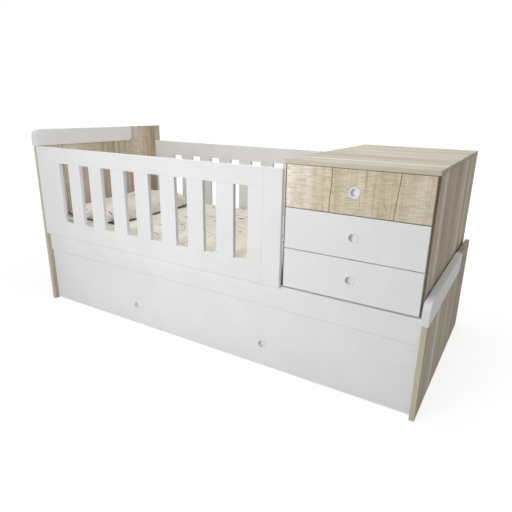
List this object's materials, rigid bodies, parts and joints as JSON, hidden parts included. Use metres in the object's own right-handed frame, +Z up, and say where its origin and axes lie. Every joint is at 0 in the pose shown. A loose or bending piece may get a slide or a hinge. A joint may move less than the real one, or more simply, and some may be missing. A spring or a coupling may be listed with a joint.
{
  "type": "convertible crib",
  "caption": "Convertible crib with slatted guards, a drawer chest on the bed base and a pull-out bed on castors below.",
  "frame": {"origin": "middle of the footprint, on the floor", "axes": "+X along the bed from the tall end board to the low one, +Y from the front to the back, +Z up"},
  "size_m": [1.958, 0.894, 0.9],
  "materials": {
    "white_board": "white satin lacquer on board",
    "oak_decor": "grey-beige oak decor, matt, rough-sawn grain",
    "pine": "planed pine, bare",
    "zinc_steel": "zinc plated",
    "white_plastic": "moulded, semi-matt",
    "grey_wheel": "moulded, matt",
    "mattress_cover": "cream printed cotton over foam",
    "pillow_cover": "cream printed cotton with a dark piping"
  },
  "bodies": {
    "bed": {"headboard_trim": "white_board", "footboard_trim": "white_board", "front_apron": "white_board", "front_guard_stiles": "white_board", "front_guard_bottom_rail": "white_board", "front_guard_top_rail": "white_board", "front_guard_bars": "white_board", "rear_guard_stiles": "white_board", "rear_guard_bottom_rail": "white_board", "rear_guard_top_rail": "white_board", "rear_guard_bars": "white_board", "rear_apron": "white_board", "rear_stretcher": "white_board", "chest_bottom": "white_board", "chest_back": "white_board", "headboard": "oak_decor", "footboard": "oak_decor", "chest_left_side": "oak_decor", "chest_right_side": "oak_decor", "chest_top": "oak_decor", "base_cleats": "pine", "base_slats": "pine", "chest_bearers": "pine", "guard_brackets": "zinc_steel", "guard_plates": "zinc_steel", "drawer_rails": "zinc_steel", "mattress": "mattress_cover", "pillow": "pillow_cover"},
    "bottom_drawer": {"bottom_drawer_front": "white_board", "bottom_drawer_pull": "white_plastic", "bottom_drawer_sides": "white_board", "bottom_drawer_back": "white_board", "bottom_drawer_bottom": "white_board", "bottom_drawer_runners": "zinc_steel"},
    "middle_drawer": {"middle_drawer_front": "white_board", "middle_drawer_pull": "white_plastic", "middle_drawer_sides": "white_board", "middle_drawer_back": "white_board", "middle_drawer_bottom": "white_board", "middle_drawer_runners": "zinc_steel"},
    "top_drawer": {"top_drawer_front": "oak_decor", "top_drawer_pull": "white_plastic", "top_drawer_sides": "white_board", "top_drawer_back": "white_board", "top_drawer_bottom": "white_board", "top_drawer_runners": "zinc_steel"},
    "trundle": {"trundle_front": "white_board", "trundle_pulls": "white_plastic", "trundle_base": "pine", "trundle_left_side": "white_board", "trundle_right_side": "white_board", "trundle_back": "white_board", "castor_forks": "zinc_steel", "castor_axles": "zinc_steel"},
    "wheel_front_left": {"castor_wheel_front_left": "grey_wheel"},
    "wheel_front_right": {"castor_wheel_front_right": "grey_wheel"},
    "wheel_rear_left": {"castor_wheel_rear_left": "grey_wheel"},
    "wheel_rear_right": {"castor_wheel_rear_right": "grey_wheel"}
  },
  "joints": [
    {"name": "bottom_drawer_slide", "type": "slide", "parent": "bed", "child": "bottom_drawer", "axis": [0, -1, 0], "range_m": [0, 0.35]},
    {"name": "middle_drawer_slide", "type": "slide", "parent": "bed", "child": "middle_drawer", "axis": [0, -1, 0], "range_m": [0, 0.35]},
    {"name": "top_drawer_slide", "type": "slide", "parent": "bed", "child": "top_drawer", "axis": [0, -1, 0], "range_m": [0, 0.35]},
    {"name": "trundle_roll_out", "type": "slide", "parent": "bed", "child": "trundle", "axis": [0, -1, 0], "range_m": [0, 0.7]},
    {"name": "wheel_front_left_spin", "type": "hinge", "parent": "trundle", "child": "wheel_front_left", "pos_m": [-0.841, -0.333, 0.02], "axis": [1, 0, 0], "continuous": true},
    {"name": "wheel_front_right_spin", "type": "hinge", "parent": "trundle", "child": "wheel_front_right", "pos_m": [0.841, -0.333, 0.02], "axis": [1, 0, 0], "continuous": true},
    {"name": "wheel_rear_left_spin", "type": "hinge", "parent": "trundle", "child": "wheel_rear_left", "pos_m": [-0.841, 0.3337, 0.02], "axis": [1, 0, 0], "continuous": true},
    {"name": "wheel_rear_right_spin", "type": "hinge", "parent": "trundle", "child": "wheel_rear_right", "pos_m": [0.841, 0.3337, 0.02], "axis": [1, 0, 0], "continuous": true}
  ]
}
